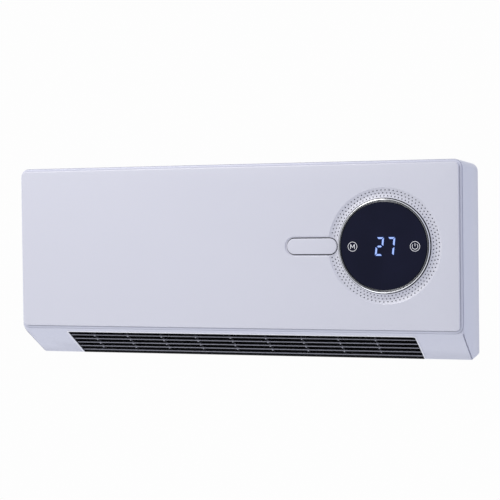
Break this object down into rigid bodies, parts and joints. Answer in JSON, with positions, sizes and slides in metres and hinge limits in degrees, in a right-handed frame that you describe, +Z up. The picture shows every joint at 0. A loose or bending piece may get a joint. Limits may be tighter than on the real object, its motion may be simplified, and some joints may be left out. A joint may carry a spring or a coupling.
{
  "type": "bathroom wall fan heater",
  "caption": "Wall-hung fan heater: wide white casing, round black touch display, sloping slatted outlet below, cross-flow rotor and ceramic element inside.",
  "frame": {"origin": "middle of the flat back, on the wall plane", "axes": "+X to the right seen from the front, -Y out of the wall towards the viewer, +Z up"},
  "size_m": [0.5498, 0.1009, 0.2279],
  "materials": {
    "casing": "satin moulded white with a faint lilac cast",
    "panel": "smooth gloss white front panel with a faint lilac cast",
    "grille": "matt grey moulded grille",
    "dark_moulding": "matt heat-proof dark moulding",
    "chrome": "polished plated ring",
    "display_lens": "mirror-smooth smoked acrylic lens",
    "circuit_board": "green solder mask",
    "white_nylon": "matt white nylon",
    "relay_blue": "satin blue plastic",
    "black_plastic": "matt black plastic",
    "rubber": "matt black rubber",
    "aluminium": "mill finish aluminium",
    "steel": "zinc plated steel",
    "bronze": "sintered bronze",
    "red_sleeve": "silicone sleeve, red",
    "blue_sleeve": "silicone sleeve, blue"
  },
  "bodies": {
    "heater_body": {"housing_shell": "casing", "front_panel": "panel", "rear_cover": "casing", "outlet_grille": "grille", "intake_grille": "casing", "chrome_ring": "chrome", "display_glass": "display_lens", "display_cup": "dark_moulding", "display_board": "circuit_board", "digit_block": "black_plastic", "touch_pad_mode": "rubber", "touch_pad_power": "rubber", "switch_case": "black_plastic", "switch_board": "circuit_board", "fan_motor": "steel", "motor_screw_upper": "steel", "motor_screw_lower": "steel", "bearing_bush": "bronze", "bearing_holder": "rubber", "duct_scroll": "dark_moulding", "duct_front": "dark_moulding", "duct_end_motor": "dark_moulding", "duct_end_bearing": "dark_moulding", "heater_fins_front": "aluminium", "heater_fins_middle": "aluminium", "heater_fins_rear": "aluminium", "heater_bar_1": "aluminium", "heater_bar_2": "aluminium", "heater_holder_left": "white_nylon", "heater_holder_right": "white_nylon", "thermostat": "white_nylon", "thermal_fuse": "aluminium", "power_board": "circuit_board", "relay_1": "relay_blue", "relay_2": "relay_blue", "capacitor": "black_plastic", "terminal_block": "white_nylon", "board_screw_1": "steel", "board_screw_2": "steel", "cord_bush": "rubber", "heater_lead_live": "red_sleeve", "heater_lead_return": "blue_sleeve", "motor_lead": "black_plastic", "display_loom": "black_plastic", "cover_screw_1": "steel", "cover_screw_2": "steel", "cover_screw_3": "steel", "cover_screw_4": "steel", "cover_screw_5": "steel", "cover_screw_6": "steel"},
    "fan": {"fan_rotor": "black_plastic", "motor_shaft": "steel", "end_pin": "steel", "hub_screw": "steel"},
    "key": {"pill_key": "panel", "switch_plunger": "black_plastic"}
  },
  "joints": [
    {"name": "fan_spin", "type": "hinge", "parent": "heater_body", "child": "fan", "pos_m": [0, -0.037, 0.036], "axis": [1, 0, 0], "continuous": true},
    {"name": "key_press", "type": "slide", "parent": "heater_body", "child": "key", "axis": [0, 1, 0], "range_m": [0, 0.0015], "stiffness_N_per_m": 800}
  ]
}
